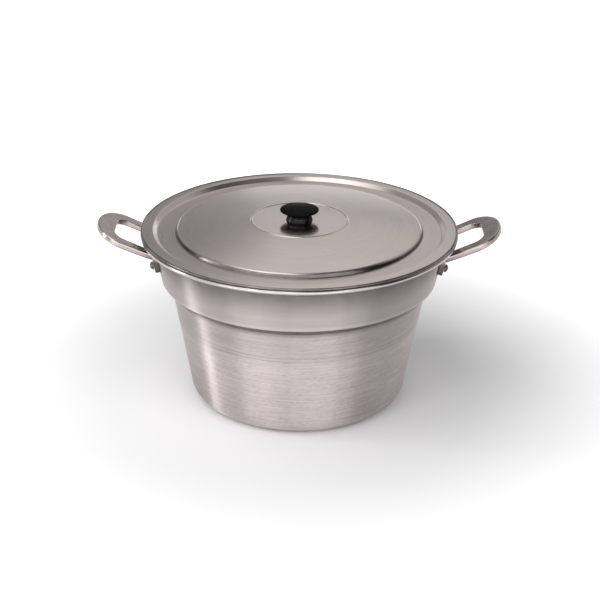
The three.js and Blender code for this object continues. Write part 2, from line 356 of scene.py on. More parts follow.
@dataclass(frozen=True)
class HammeredSheet(Finish):
    """Spun aluminium with hammer marks, which are in the mesh with their depth as "mark" and are
    darkened there as painted shade.
    """

    mark_shade_colour: Colour = WHITE
    mark_shade_strength: float = 0.0

    def material(self) -> Material:
        """Builds the material.

        Returns:
            The material.
        """
        paint = Paint(self.name)
        lines = paint.grain(paint.z, pitch=0.0019, around=3.0, detail=3.0)
        dashes = paint.grain(paint.z, pitch=0.0021, around=15.0)
        fine = paint.grain(paint.z, pitch=0.0003, around=6.0)
        cloud = paint.noise(scale=11.0, detail=3.0)
        tone = 0.46 * lines + 0.18 * dashes + 0.1 * fine + 0.26 * cloud
        mark = paint.node("ShaderNodeAttribute", attribute_name="mark").out("Fac")
        # The marks and grooves are darkened in the colour: painted shade in the dents.
        marked = (mark * self.mark_shade_strength).least(1.0)
        colour = paint.blend(marked, self.toned(paint, tone, spread=0.22), self.mark_shade_colour)
        rough = self.roughness + 0.12 * (lines - 0.5) + 0.06 * (dashes - 0.5)
        normal = paint.relief(0.6 * lines + 0.4 * dashes, depth=0.00003, strength=0.3)
        return self.metal(paint, colour, rough, normal)


@dataclass(frozen=True)
class CastMetal(Finish):
    """Cast aluminium, polished over a faintly uneven skin."""

    def material(self) -> Material:
        """Builds the material.

        Returns:
            The material.
        """
        paint = Paint(self.name)
        skin = paint.noise(scale=900.0, detail=3.0)
        patch = paint.noise(scale=70.0, detail=3.0)
        colour = self.toned(paint, 0.7 * patch + 0.3 * skin, spread=0.2)
        rough = self.roughness + 0.12 * (patch - 0.5) + 0.08 * (skin - 0.5)
        normal = paint.relief(skin, depth=0.00005, strength=0.35)
        return self.metal(paint, colour, rough, normal)


@dataclass(frozen=True)
class TurnedMetal(Finish):
    """Small turned or plated metal fittings."""

    def material(self) -> Material:
        """Builds the material.

        Returns:
            The material.
        """
        paint = Paint(self.name)
        lines = paint.grain(paint.radius + paint.z, pitch=0.00022, around=2.0)
        tone = 0.5 * lines + 0.5 * paint.noise(scale=300.0, detail=3.0)
        rough = self.roughness + 0.14 * (tone - 0.5)
        colour = self.toned(paint, tone, spread=0.2)
        normal = paint.relief(lines, depth=0.00002, strength=0.3)
        return self.metal(paint, colour, rough, normal)


@dataclass(frozen=True)
class MouldedPlastic(Finish):
    """Black phenolic moulding, dull from use above and still glossy below a height."""

    glossy_below: float = 0.0
    gloss: float = 0.0
    gloss_edge: float = 0.002

    def material(self) -> Material:
        """Builds the material.

        Returns:
            The material.
        """
        paint = Paint(self.name)
        skin = paint.noise(scale=1400.0, detail=2.0)
        flow = paint.noise(scale=90.0, detail=4.0)
        worn = paint.z.eased(self.glossy_below - self.gloss_edge, self.glossy_below)
        return paint.surface(
            Base_Color=self.toned(paint, flow, spread=0.15),
            Metallic=0.0,
            Roughness=self.roughness + 0.1 * (flow - 0.5) + 0.05 * (skin - 0.5),
            Specular_IOR_Level=0.008,
            Coat_Weight=self.gloss * (1 - worn),
            Coat_Roughness=0.12,
            Normal=paint.relief(skin, depth=0.00002, strength=0.2),
        )


@dataclass(frozen=True)
class StudioPaper:
    """White paper that sweeps up from floor to wall, kept white far off, and greys with height."""

    name: str = "studio_paper"
    colour: Colour = (0.86, 0.86, 0.87)
    lift: float = 0.75
    near: float = 0.2
    far: float = 0.66
    grey_from: float = 0.3
    grey_to: float = 0.7
    grey: float = 0.1

    def material(self) -> Material:
        """Builds the material.

        Returns:
            The material.
        """
        paint = Paint(self.name)
        path = paint.node("ShaderNodeLightPath")
        seen = path.out("Is Camera Ray") + path.out("Is Glossy Ray")
        seen = (seen + path.out("Is Transmission Ray")).least(1.0)
        high = paint.z.eased(self.grey_from, self.grey_to)
        grey = tuple(self.grey * part for part in self.colour)
        matt = paint.node("ShaderNodeBsdfDiffuse", {"Color": paint.blend(high, self.colour, grey)})
        lift = self.lift * paint.radius.eased(self.near, self.far)
        strength = seen * lift * (1 - high)
        glow = paint.node("ShaderNodeEmission", {"Color": WHITE, "Strength": strength})
        return paint.ended(paint.node("ShaderNodeAddShader", {0: matt, 1: glow}))


COLLAR_SHEET = BrushedSheet(
    "collar_brushed_aluminium",
    (0.48, 0.433, 0.417),
    (0.40, 0.358, 0.343),
    0.42,
    (
        # painted shade in the crease of the ledge below the shoulder
        PaintedShading((0.07, 0.063, 0.058), 0.8, 0.1360, 0.1375, 0.1445, 0.1462),
        # painted highlight along the shoulder edge
        PaintedShading((0.66, 0.61, 0.58), 0.3, 0.1458, 0.1472, 0.1482, 0.1515),
        # painted shade on the upper collar, under the overhanging rim
        PaintedShading((0.08, 0.073, 0.069), 0.74, 0.155, 0.197, 0.1985, 0.2000),
    ),
    anisotropy=1.0,
)
RIM_SHEET = BrushedSheet(
    "rim_polished_aluminium", (0.47, 0.434, 0.42), (0.38, 0.348, 0.336), 0.2, anisotropy=0.4
)
LID_SHEET = BrushedSheet(
    "lid_brushed_aluminium",
    (0.59, 0.519, 0.492),
    (0.512, 0.447, 0.422),
    0.29,
    (
        # painted shade along the lid's rolled edge, against the rim
        PaintedShading((0.09, 0.083, 0.079), 0.85, 0.1772, 0.1782, 0.19, 0.2, Across.RADIUS),
        # painted shade in the corner at the foot of the plateau step
        PaintedShading((0.05, 0.047, 0.045), 0.75, 0.1387, 0.1397, 0.1411, 0.1416, Across.RADIUS),
    ),
    anisotropy=0.45,
    scratch=0.05,
    polished_within=0.0546,
    polish=0.12,
)
INSIDE_SHEET = BrushedSheet(
    "inside_spun_aluminium",
    (0.68, 0.665, 0.65),
    (0.58, 0.565, 0.55),
    0.36,
    anisotropy=0.6,
    pitch=0.0006,
)
HAMMERED_SHEET = HammeredSheet(
    "hammered_aluminium",
    (0.66, 0.592, 0.584),
    (0.44, 0.39, 0.385),
    0.41,
    (
        # weak painted shade rising up the wall towards the ledge
        PaintedShading((0.2, 0.18, 0.174), 0.26, 0.088, 0.118, 0.15, 0.16),
        # painted shade on the wall just under the ledge
        PaintedShading((0.14, 0.125, 0.12), 0.65, 0.131, 0.1375, 0.15, 0.16),
    ),
    anisotropy=1.0,
    # painted shade in the hammer marks and grooves
    mark_shade_colour=(0.2, 0.18, 0.174),
    mark_shade_strength=0.5,
)
# painted shade over the handles' feet and the rivets, under the rim
FOOT_PAINTED_SHADE = PaintedShading((0.06, 0.053, 0.05), 0.85, -0.01, 0.0, 0.174, 0.185)
HANDLE_CASTING = CastMetal(
    "handle_cast_aluminium", (0.42, 0.359, 0.345), (0.34, 0.289, 0.277), 0.25, (FOOT_PAINTED_SHADE,)
)
RIVET_METAL = CastMetal(
    "rivet_tumbled_aluminium", (0.48, 0.432, 0.42), (0.38, 0.34, 0.33), 0.32, (FOOT_PAINTED_SHADE,)
)
KNOB_PHENOLIC = MouldedPlastic(
    "knob_black_phenolic",
    (0.005, 0.0046, 0.0046),
    (0.0025, 0.0025, 0.0025),
    0.24,
    glossy_below=0.2205,
    gloss=0.4,
)
BUSH_BRASS = TurnedMetal("bush_brass", (0.72, 0.57, 0.29), (0.58, 0.44, 0.21), 0.34)
PLATED_STEEL = TurnedMetal("plated_steel", (0.66, 0.67, 0.68), (0.5, 0.51, 0.52), 0.32)


# Profiles, drawn in millimetres with the radius across and the height up


@dataclass(frozen=True)
class Corner:
    """A corner of a profile and the fillet that rounds it."""

    at: complex
    fillet: float = 0.0


def heading(start: complex, end: complex) -> complex:
    """The direction from one point to another."""
    return (end - start) / abs(end - start)


def crossing(start: complex, along: complex, other: complex, other_along: complex) -> complex:
    """Where two straight lines meet.

    Args:
        start: a point of the first line.
        along: its direction.
        other: a point of the second line.
        other_along: its direction.

    Returns:
        The point on both.
    """
    apart = other - start
    reach = (apart.conjugate() * other_along).imag / (along.conjugate() * other_along).imag
    return start + along * reach


def arc(
    centre: complex, radius: float, start: float, sweep: float, step: float = ARC_STEP
) -> list[complex]:
    """The points of an arc.

    Args:
        centre: its centre.
        radius: its radius.
        start: the angle of its first point.
        sweep: the angle that it turns through.
        step: the largest angle between two points.

    Returns:
        The points, both ends included.
    """
    count = max(1, ceil(abs(sweep) / step))
    return [centre + cmath.rect(radius, start + sweep * i / count) for i in range(count + 1)]


def rounded(corners: Sequence[Corner], step: float = ARC_STEP) -> list[list[complex]]:
    """A line of corners with each corner rounded by its own fillet.

    Args:
        corners: the line.
        step: the largest angle between two points of a fillet.

    Returns:
        The points of each corner in turn.
    """
    turns = []
    for i, corner in enumerate(corners):
        if corner.fillet == 0:
            turns.append([corner.at])
            continue
        into = heading(corners[i - 1].at, corner.at)
        turn = cmath.phase(heading(corner.at, corners[i + 1].at) / into)
        side = copysign(1.0, turn)
        start = corner.at - into * corner.fillet * tan(abs(turn) / 2)
        centre = start + 1j * into * side * corner.fillet
        turns.append(arc(centre, corner.fillet, cmath.phase(-1j * into * side), turn, step))
    return turns


def outline(corners: Sequence[Corner], step: float = ARC_STEP) -> list[complex]:
    """A rounded line of corners as one list of points."""
    return [point for turn in rounded(corners, step) for point in turn]


def path(*places: tuple[float, ...]) -> list[Corner]:
    """A line of corners, each given as its radius, its height and, if rounded, its fillet."""
    return [Corner(complex(*place[:2]), *place[2:]) for place in places]


def offset(corners: Sequence[Corner], distance: float) -> list[Corner]:
    """A line of corners moved sideways.

    Args:
        corners: the line.
        distance: how far, to the left of its heading.

    Returns:
        The moved line.
    """
    moved = []
    for i, corner in enumerate(corners):
        end = max(i, 1)
        into = heading(corners[end - 1].at, corners[end].at)
        out = heading(corner.at, corners[i + 1].at) if i < len(corners) - 1 else into
        bend = into.conjugate() * out
        shift = 1j * (into + out) * distance / (1 + bend.real)
        inner = corner.fillet - copysign(1.0, bend.imag) * distance
        moved.append(Corner(corner.at + shift, corner.fillet and max(inner, LEAST_FILLET)))
    return moved


def bead(centre: complex, radius: float, along: complex, sheet: float) -> list[complex]:
    """The rolled edge of a sheet that runs along a heading, from its right side to its left."""
    half = asin(sheet / 2 / radius)
    return arc(centre, radius, cmath.phase(along) - pi + half, 2 * (pi - half), BEAD_STEP)


def spaced(points: Sequence[complex], spacing: float) -> list[complex]:
    """A line with points added.

    Args:
        points: the line.
        spacing: the largest distance between two points.

    Returns:
        The same line with enough points.
    """
    filled = [points[0]]
    for start, end in zip(points, points[1:]):
        count = max(1, ceil(abs(end - start) / spacing))
        filled += [start + (end - start) * i / count for i in range(1, count + 1)]
    return filled


# Meshes


def linked(name: str, data: ID) -> Object:
    """Puts a mesh, curve, lamp or camera into the scene as an object at the origin.

    Args:
        name: the object's name.
        data: what it shows.

    Returns:
        The object.
    """
    made = bpy.data.objects.new(name, data)
    bpy.context.scene.collection.objects.link(made)
    return made


def dressed(name: str, mesh: Mesh, finish: Material) -> Object:
    """Puts a mesh into the scene with its finish.

    Args:
        name: the piece's name.
        mesh: its mesh.
        finish: its material.

    Returns:
        The piece.
    """
    mesh.materials.clear()
    mesh.materials.append(finish)
    return linked(name, mesh)


def plain_mesh(shape: Object, name: str) -> Mesh:
    """Turns an object with modifiers, or a curve, into a plain mesh and removes the object.

    Args:
        shape: the object.
        name: the mesh's name.

    Returns:
        The mesh.
    """
    graph = bpy.context.evaluated_depsgraph_get()
    graph.update()
    mesh = bpy.data.meshes.new_from_object(shape.evaluated_get(graph), depsgraph=graph)
    mesh.name = name
    bpy.data.objects.remove(shape)
    return mesh


def cut(shape: Object, tools: Sequence[Object], name: str) -> Mesh:
    """Cuts an object with others, after its own modifiers, and removes them all.

    Args:
        shape: the object.
        tools: what it is cut with.
        name: the mesh's name.

    Returns:
        What is left, as a plain mesh.
    """
    for tool in tools:
        modifier = shape.modifiers.new("cut", "BOOLEAN")
        modifier.operation = "DIFFERENCE"
        modifier.solver = "EXACT"
        modifier.object = tool
    mesh = plain_mesh(shape, name)
    for tool in tools:
        bpy.data.objects.remove(tool)
    return mesh


def from_bmesh(made: bmesh.types.BMesh, name: str) -> Mesh:
    """Writes a bmesh into a mesh and frees it.

    Args:
        made: the bmesh.
        name: the mesh's name.

    Returns:
        The mesh.
    """
    mesh = bpy.data.meshes.new(name)
    made.to_mesh(mesh)
    made.free()
    return mesh


def smooth(mesh: Mesh, sharp: float = SHARP_EDGE) -> Mesh:
    """Shades a mesh smooth, apart from edges sharper than an angle.

    Args:
        mesh: the mesh.
        sharp: the angle.

    Returns:
        The same mesh.
    """
    mesh.shade_smooth()
    mesh.set_sharp_from_angle(angle=sharp)
    return mesh


@dataclass
class Ring:
    """A ring of vertices of a turned mesh."""

    start: int
    count: int

    def __getitem__(self, i: int) -> int:
        """The index of a vertex, counted on round the ring."""
        return self.start + i % self.count


def joined(low: Ring, high: Ring) -> list[tuple[int, ...]]:
    """The faces between two rings.

    Args:
        low: the ring that comes first on the profile.
        high: the next, with as many vertices, twice or half as many, or one.

    Returns:
        The faces, pointing right of the profile's heading.
    """
    if low.count < high.count:
        return [face[::-1] for face in joined(high, low)]
    if high.count == 1:
        return [(low[j], low[j + 1], high[0]) for j in range(low.count)]
    if low.count == high.count:
        return [(low[j], low[j + 1], high[j + 1], high[j]) for j in range(low.count)]
    faces: list[tuple[int, ...]] = []
    for j in range(high.count):
        faces.append((low[2 * j], low[2 * j + 1], high[j]))
        faces.append((low[2 * j + 1], low[2 * j + 2], high[j + 1], high[j]))
    return faces


def turned(
    name: str,
    profile: Sequence[complex],
    facets: int | Sequence[int],
    zones: Sequence[int] | None = None,
    closed: bool = False,
) -> Mesh:
    """A profile turned about Z.

    Args:
        name: the mesh's name.
        profile: its points in millimetres.
        facets: the number of facets round it, for all rows or for each.
        zones: a number for each strip between two rows, kept on its faces as "zone".
        closed: whether the last row joins the first.

    Returns:
        The mesh, in metres.
    """
    counts = [facets] * len(profile) if isinstance(facets, int) else facets
    rings: list[Ring] = []
    rows: list[np.ndarray] = []
    total = 0
    for at, count in zip(profile, counts):
        size, radius = (1, 0.0) if at.real < TINY else (count, at.real)
        angle = np.arange(size) * TURN / size
        height = np.full(size, at.imag)
        rows.append(np.column_stack((radius * np.cos(angle), radius * np.sin(angle), height)))
        rings.append(Ring(total, size))
        total += size
    pairs = list(zip(rings, rings[1:]))
    if closed:
        pairs.append((rings[-1], rings[0]))
    faces: list[tuple[int, ...]] = []
    marks: list[int] = []
    for i, (low, high) in enumerate(pairs):
        strip = joined(low, high)
        faces += strip
        marks += [zones[i] if zones else 0] * len(strip)
    mesh = bpy.data.meshes.new(name)
    mesh.from_pydata((np.vstack(rows) * MM).tolist(), [], faces)
    mesh.attributes.new("zone", "INT", "FACE").data.foreach_set("value", marks)
    mesh.update()
    return mesh


# Pieces that follow a rule, made by Geometry Nodes


class Tree(Net):
    """A Geometry Nodes tree with named inputs, which starts from the object's own mesh."""

    def __init__(self, name: str) -> None:
        """Starts a tree with one geometry in and one out."""
        super().__init__(bpy.data.node_groups.new(name, "GeometryNodeTree"))
        for way in ("INPUT", "OUTPUT"):
            self.tree.interface.new_socket(
                "Geometry", in_out=way, socket_type="NodeSocketGeometry"
            )
        self.given: dict[str, Any] = {}
        self.source = self.node("NodeGroupInput")

    def size(self, name: str, setting: Any, kind: str = "NodeSocketFloat") -> Value:
        """Adds a named input.

        Args:
            name: its name.
            setting: what it is set to.
            kind: its socket's type.

        Returns:
            The input.
        """
        socket = self.tree.interface.new_socket(name, in_out="INPUT", socket_type=kind)
        self.given[socket.identifier] = setting
        return self.source.out(name)

    def chance(self, key: Value, seed: Number, low: float, high: float) -> Value:
        """A random number between two, one draw for each whole number that is the key."""
        sockets = {2: low, 3: high, 7: key, 8: seed}
        return self.node("FunctionNodeRandomValue", sockets).out(1)

    def in_zone(self, zone: int) -> Value:
        """Whether a face has a zone's number."""
        own = self.node("GeometryNodeInputNamedAttribute", {"Name": "zone"}, data_type="INT")
        return self.node(
            "FunctionNodeCompare", {2: own, 3: int(zone)}, data_type="INT", operation="EQUAL"
        )

    def finished(self, geometry: Value, finishes: Mapping[int, Material]) -> None:
        """Ends the tree: instances are made real and each zone gets its material.

        Args:
            geometry: what the tree made.
            finishes: a material for each zone.
        """
        made = self.node("GeometryNodeRealizeInstances", {"Geometry": geometry})
        for zone, finish in finishes.items():
            sockets = {"Geometry": made, "Material": finish}
            if len(finishes) > 1:
                sockets["Selection"] = self.in_zone(zone)
            made = self.node("GeometryNodeSetMaterial", sockets)
        self.node("NodeGroupOutput", {0: made})

    def run(self, name: str, mesh: Mesh) -> Mesh:
        """Runs the tree on a mesh.

        Args:
            name: the name of the result.
            mesh: what the tree starts from.

        Returns:
            A plain mesh.
        """
        shape = linked(name + "_source", mesh)
        modifier = shape.modifiers.new(name, "NODES")
        modifier.node_group = self.tree
        for identifier, setting in self.given.items():
            modifier[identifier] = setting
        return plain_mesh(shape, name)


# The pot


class Zone(IntEnum):
    """Parts of the pot's shell that have their own finish."""

    HAMMERED = 0
    COLLAR = 1
    INSIDE = 2
    RIM = 3


@dataclass
class HammerMarks:
    """Rows of flat hammer marks round the lower wall, with turned lines among them.

    Half sizes and strays are shares of a pitch. Draws below 0 leave a mark or a line out.
    """

    depth: float = 0.06
    groove: float = 0.05
    pitch: float = 3.6
    marks_round: int = 104
    half_length: tuple[float, float] = (0.26, 0.5)
    half_height: float = 0.3
    stray: float = 0.2
    weight: tuple[float, float] = (-0.3, 1.0)
    row_weight: tuple[float, float] = (0.5, 1.15)
    row_keys: int = 1009
    line_pitch: float = 4.1
    line_half: float = 0.34
    line_weight: tuple[float, float] = (-0.5, 1.0)
    line_tone: float = 1.5
    lines_at: float = 111.0
    lines_spread: float = 30.0
    lines_elsewhere: float = 0.3
    low: float = 9.0
    high: float = 137.0
    fade: float = 5.0
    seed: int = 7

    def struck(self, mesh: Mesh, finishes: Mapping[int, Material]) -> Mesh:
        """Strikes the marks into the pot's shell.

        Args:
            mesh: the smooth shell.
            finishes: a material for each zone.

        Returns:
            The shell with its marks.
        """
        tree = Tree("hammer_marks")
        depth = tree.size("Mark Depth", self.depth * MM)
        groove = tree.size("Groove Depth", self.groove * MM)
        pitch = tree.size("Row Pitch", self.pitch * MM)
        line_pitch = tree.size("Line Pitch", self.line_pitch * MM)
        count = tree.size("Marks Round", float(self.marks_round))
        seed = tree.size("Seed", self.seed, "NodeSocketInt")
        x, y, z = tree.split(tree.node("GeometryNodeInputPosition"))

        level = (z - self.low * MM) / pitch
        row = level.floor()
        around = (tree.math("ARCTAN2", y, x) / TURN + 0.5) * count
        around = around + tree.chance(row, seed, 0.0, 1.0)
        column = around.floor()
        key = row * self.row_keys + tree.math("WRAP", column, count, 0.0)
        aside = (around - column - 0.5) / tree.chance(key, seed + 1, *self.half_length)
        strayed = tree.chance(key, seed + 2, -self.stray, self.stray)
        above = (level - row - 0.5 - strayed) / self.half_height
        bowl = (1 - aside**2 - above**2).most(0.0)
        weight = tree.chance(key, seed + 3, *self.weight).most(0.0)
        weight = weight * tree.chance(row, seed + 4, *self.row_weight)

        course = (z - self.low * MM) / line_pitch
        number = course.floor()
        across = (course - number - 0.5) / self.line_half
        line = (1 - across**2).most(0.0)
        line = line * tree.chance(number, seed + 5, *self.line_weight).most(0.0)
        close = z.ridge(self.lines_at * MM, self.lines_spread * MM)
        line = line * (self.lines_elsewhere + (1 - self.lines_elsewhere) * close)

        fade = z.eased(self.low * MM, (self.low + self.fade) * MM)
        fade = fade * (1 - z.eased((self.high - self.fade) * MM, self.high * MM))
        dent = bowl * bowl * weight * fade
        ring = line * line * fade
        inward = -1.0 * (depth * dent + groove * ring)
        push = tree.node(
            "ShaderNodeVectorMath",
            {0: tree.node("GeometryNodeInputNormal"), "Scale": inward},
            operation="SCALE",
        )
        # The stored "mark" sets how much painted shade the material lays in each dent and groove.
        noted = tree.node(
            "GeometryNodeStoreNamedAttribute",
            {"Geometry": tree.source, "Name": "mark", "Value": dent + self.line_tone * ring},
            data_type="FLOAT",
            domain="POINT",
        )
        outer = tree.in_zone(Zone.HAMMERED)
        sockets = {"Geometry": noted, "Selection": outer, "Offset": push}
        tree.finished(tree.node("GeometryNodeSetPosition", sockets), finishes)
        return tree.run("pot_body_shell", mesh)


@dataclass
class Pot:
    """The pot's spun shell: base, hammered wall, ledge, collar and rolled rim."""

    height: float = 202.7
    rim_radius: float = 180.9
    rim_bead: float = 5.0
    wall: float = 2.0
    flange_rise: float = radians(30)
    neck_fillet: float = 6.0
    flare: float = radians(11)
    collar_height: float = 56.3
    shoulder_inset: float = 23.0
    shoulder_fillet: float = 3.0
    ledge_width: float = 10.9
    ledge_drop: float = 8.5
    ledge_fillet: float = 2.5
    base_radius: float = 122.6
    base_fillet: float = 21.5
    facets: int = 360
    row_spacing: float = 0.8
    collar_spacing: float = 9.0
    base_spacing: float = 30.0
    inside_spacing: float = 14.0
    inside_step: float = radians(15)
    marks: HammerMarks = field(default_factory=HammerMarks)

    @property
    def shoulder(self) -> complex:
        """The corner where the collar meets the ledge."""
        return complex(self.rim_radius - self.shoulder_inset, self.height - self.collar_height)

    @property
    def rim_centre(self) -> complex:
        """The centre of the rim's rolled bead."""
        return complex(self.rim_radius - self.rim_bead / 2, self.height - self.rim_bead / 2)

    @property
    def flange_along(self) -> complex:
        """The heading of the flange that carries the rim."""
        return cmath.rect(1.0, self.flange_rise)

    @property
    def rim(self) -> list[complex]:
        """The rolled bead, from under the flange round to its top."""
        return bead(self.rim_centre, self.rim_bead / 2, self.flange_along, self.wall)

    def collar_radius(self, height: float) -> float:
        """The collar's outer radius at a height."""
        return self.shoulder.real + (height - self.shoulder.imag) * tan(self.flare)

    def corners(self) -> list[Corner]:
        """The shell's outline.

        Returns:
            Its corners, from the middle of the base out and up to the rim.
        """
        along = self.flange_along
        under = self.rim_centre - 1j * along * self.wall / 2
        rising = cmath.rect(1.0, QUARTER - self.flare)
        return [
            Corner(0j),
            Corner(complex(self.base_radius, 0), self.base_fillet),
            Corner(self.shoulder - complex(self.ledge_width, self.ledge_drop), self.ledge_fillet),
            Corner(self.shoulder, self.shoulder_fillet),
            Corner(crossing(self.shoulder, rising, under, along), self.neck_fillet),
            Corner(self.rim[0]),
        ]

    def build_shell(self) -> Object:
        """Builds the shell with its hammer marks.

        Returns:
            The shell, dressed.
        """
        base, foot, ledge, shoulder, neck, entry = rounded(self.corners())
        inside = outline(offset(self.corners(), self.wall), self.inside_step)[::-1]
        full, half, quarter = (self.facets // share for share in (1, 2, 4))
        runs = [
            (spaced([*base, foot[0]], self.base_spacing)[:-1], quarter, Zone.INSIDE),
            ([foot[0]], half, Zone.HAMMERED),
            (spaced([*foot, ledge[0]], self.row_spacing)[1:], full, Zone.HAMMERED),
            ([*ledge[1:], *shoulder], full, Zone.COLLAR),
            (
                spaced([shoulder[-1], *neck, entry[0]], self.collar_spacing)[1:-1],
                full,
                Zone.COLLAR,
            ),
            (self.rim, full, Zone.RIM),
            (spaced(inside[1:], self.inside_spacing), half, Zone.INSIDE),
        ]
        rows = [(at, count, int(zone)) for points, count, zone in runs for at in points]
        profile, facets, zones = zip(*rows)
        mesh = turned("pot_shell_smooth", profile, facets, zones[:-1])
        mesh.shade_smooth()
        finishes = {
            Zone.HAMMERED: HAMMERED_SHEET.material(),
            Zone.COLLAR: COLLAR_SHEET.material(),
            Zone.INSIDE: INSIDE_SHEET.material(),
            Zone.RIM: RIM_SHEET.material(),
        }
        return linked("pot_shell", self.marks.struck(mesh, finishes))


@dataclass
class Handle:
    """A cast loop handle on two feet, riveted to the collar."""

    pot: Pot
    tilt: float = radians(24)
    drop: float = 15.6
    reach: float = 53.4
    width: float = 84.0
    nose: float = 31.0
    nose_steps: int = 40
    side_steps: int = 24
    thickness: float = 7.0
    edge: float = 1.5
    edge_steps: int = 4
    grip_width: float = 22.0
    arm_spacing: float = 64.0
    arm_width: float = 11.0
    hole_corner: float = 13.0
    hole_step: float = radians(6)
    foot_width: float = 20.0
    foot_thickness: float = 5.0
    foot_corner: float = 6.0
    foot_above_arm: float = 5.5
    foot_below_rivet: float = 8.0
    foot_edge: float = 1.2
    rivet_below_arm: float = 11.0
    rivet_shank: float = 5.2
    drill_reach: float = 20.0
    drill_facets: int = 32
    voxel: float = 0.6
    softness: float = 0.5
    softening: int = 4
    sharp: float = radians(50)

    @property
    def root_height(self) -> float:
        """The height at which the arms meet the collar."""
        centre = self.pot.height - self.drop
        return centre - (self.pot.rim_radius - self.pot.collar_radius(centre)) * tan(self.tilt)

    @property
    def foot_radius(self) -> float:
        """The radius of the middle of a foot where its arm starts."""
        return self.pot.collar_radius(self.root_height) + self.foot_thickness / 2

    @property
    def foot_turn(self) -> float:
        """The angle of a foot from the handle's middle, round the pot."""
        return asin(self.arm_spacing / 2 / self.foot_radius)

    @property
    def root_reach(self) -> float:
        """Where the arms start, along the handle from the rim."""
        level = self.foot_radius * cos(self.foot_turn) - self.pot.rim_radius
        return level / cos(self.tilt)

    @property
    def rivet_height(self) -> float:
        """The height of the rivets."""
        return self.root_height - self.rivet_below_arm

    @property
    def foot_face(self) -> float:
        """The outer face of a foot, out from the collar."""
        return GAP + self.foot_thickness

    def seat(self, turn: float) -> Matrix:
        """A frame on the collar at a rivet.

        Args:
            turn: the rivet's angle round the pot.

        Returns:
            X along the rim, Y up the wall and Z square out of it, in metres.
        """
        along = Vector((-sin(turn), cos(turn), 0))
        radial = Vector((cos(turn), sin(turn), 0))
        square = radial * cos(self.pot.flare) - Vector((0, 0, sin(self.pot.flare)))
        height = self.rivet_height
        origin = radial * self.pot.collar_radius(height) + Vector((0, 0, height))
        columns = Matrix((along, square.cross(along), square)).transposed().to_4x4()
        return Matrix.Translation(origin * MM) @ columns

    def loop_outline(self) -> list[complex]:
        """The flat loop's outline.

        Returns:
            Its points in millimetres, its reach along the real axis from the rim.
        """
        outer = (self.arm_spacing + self.arm_width) / 2
        inner = (self.arm_spacing - self.arm_width) / 2
        hole = self.reach - self.grip_width
        widest = self.reach - self.nose
        root, half = self.root_reach, self.width / 2
        bulge = complex((root + widest) / 2, half)
        start, end = complex(root, outer), complex(widest, half)
        steps = [i / self.side_steps for i in range(self.side_steps)]
        side = [(1 - t) ** 2 * start + 2 * t * (1 - t) * bulge + t * t * end for t in steps]
        angles = [QUARTER * (1 - i / self.nose_steps) for i in range(self.nose_steps)]
        nose = [complex(widest + self.nose * cos(a), half * sin(a)) for a in angles]
        centre = complex(hole - self.hole_corner, inner - self.hole_corner)
        corner = arc(centre, self.hole_corner, 0.0, QUARTER, self.hole_step)
        upper = [*side, *nose, complex(self.reach, 0)]
        lower = [point.conjugate() for point in reversed(upper[:-1])]
        grip = [*corner, complex(root, inner)]
        return [*upper, *lower, *[point.conjugate() for point in reversed(grip)], *grip]

    def foot_outline(self) -> list[complex]:
        """A foot's outline on the collar.

        Returns:
            Its points in millimetres, round its rivet.
        """
        half = self.foot_width / 2 - self.foot_corner
        low = self.foot_corner - self.foot_below_rivet
        high = self.rivet_below_arm + self.foot_above_arm - self.foot_corner
        places = ((half, low), (half, high), (-half, high), (-half, low))
        return [
            point
            for i, place in enumerate(places)
            for point in arc(complex(*place), self.foot_corner, (i - 1) * QUARTER, QUARTER)
        ]

    def plate(self, line: Sequence[complex], half: float, edge: float, place: Matrix) -> Mesh:
        """A flat outline made thick, with rounded edges.

        Args:
            line: its points in millimetres.
            half: half its thickness.
            edge: the radius of its edges.
            place: where it goes, in metres.

        Returns:
            The mesh.
        """
        curve = bpy.data.curves.new("plate", "CURVE")
        curve.dimensions = "2D"
        curve.fill_mode = "BOTH"
        curve.extrude = (half - edge) * MM
        curve.bevel_depth = edge * MM
        curve.offset = -edge * MM
        curve.bevel_resolution = self.edge_steps
        spline = curve.splines.new("POLY")
        spline.points.add(len(line) - 1)
        for target, at in zip(spline.points, line):
            target.co = (at.real * MM, at.imag * MM, 0.0, 1.0)
        spline.use_cyclic_u = True
        mesh = plain_mesh(linked("plate", curve), "plate")
        mesh.transform(place)
        return mesh

    def blank(self) -> Object:
        """The handle on the +X side before it is seated: loop and feet run together.

        Returns:
            The object, with its modifiers.
        """
        centre = Vector((self.pot.rim_radius, 0, self.pot.height - self.drop)) * MM
        level = Matrix.Translation(centre) @ Matrix.Rotation(-self.tilt, 4, "Y")
        parts = [self.plate(self.loop_outline(), self.thickness / 2, self.edge, level)]
        depth = self.foot_face + self.foot_thickness
        middle = Matrix.Translation((0, 0, (self.foot_face - depth / 2) * MM))
        for turn in (self.foot_turn, -self.foot_turn):
            place = self.seat(turn) @ middle
            parts.append(self.plate(self.foot_outline(), depth / 2, self.foot_edge, place))
        together = bmesh.new()
        for part in parts:
            together.from_mesh(part)
        bmesh.ops.remove_doubles(together, verts=together.verts, dist=TINY)
        bmesh.ops.recalc_face_normals(together, faces=together.faces)
        blank = linked("handle_blank", from_bmesh(together, "handle_parts"))
        merge = blank.modifiers.new("merge", "REMESH")
        merge.mode = "VOXEL"
        merge.voxel_size = self.voxel * MM
        soften = blank.modifiers.new("soften", "SMOOTH")
        soften.factor = self.softness
        soften.iterations = self.softening
        return blank

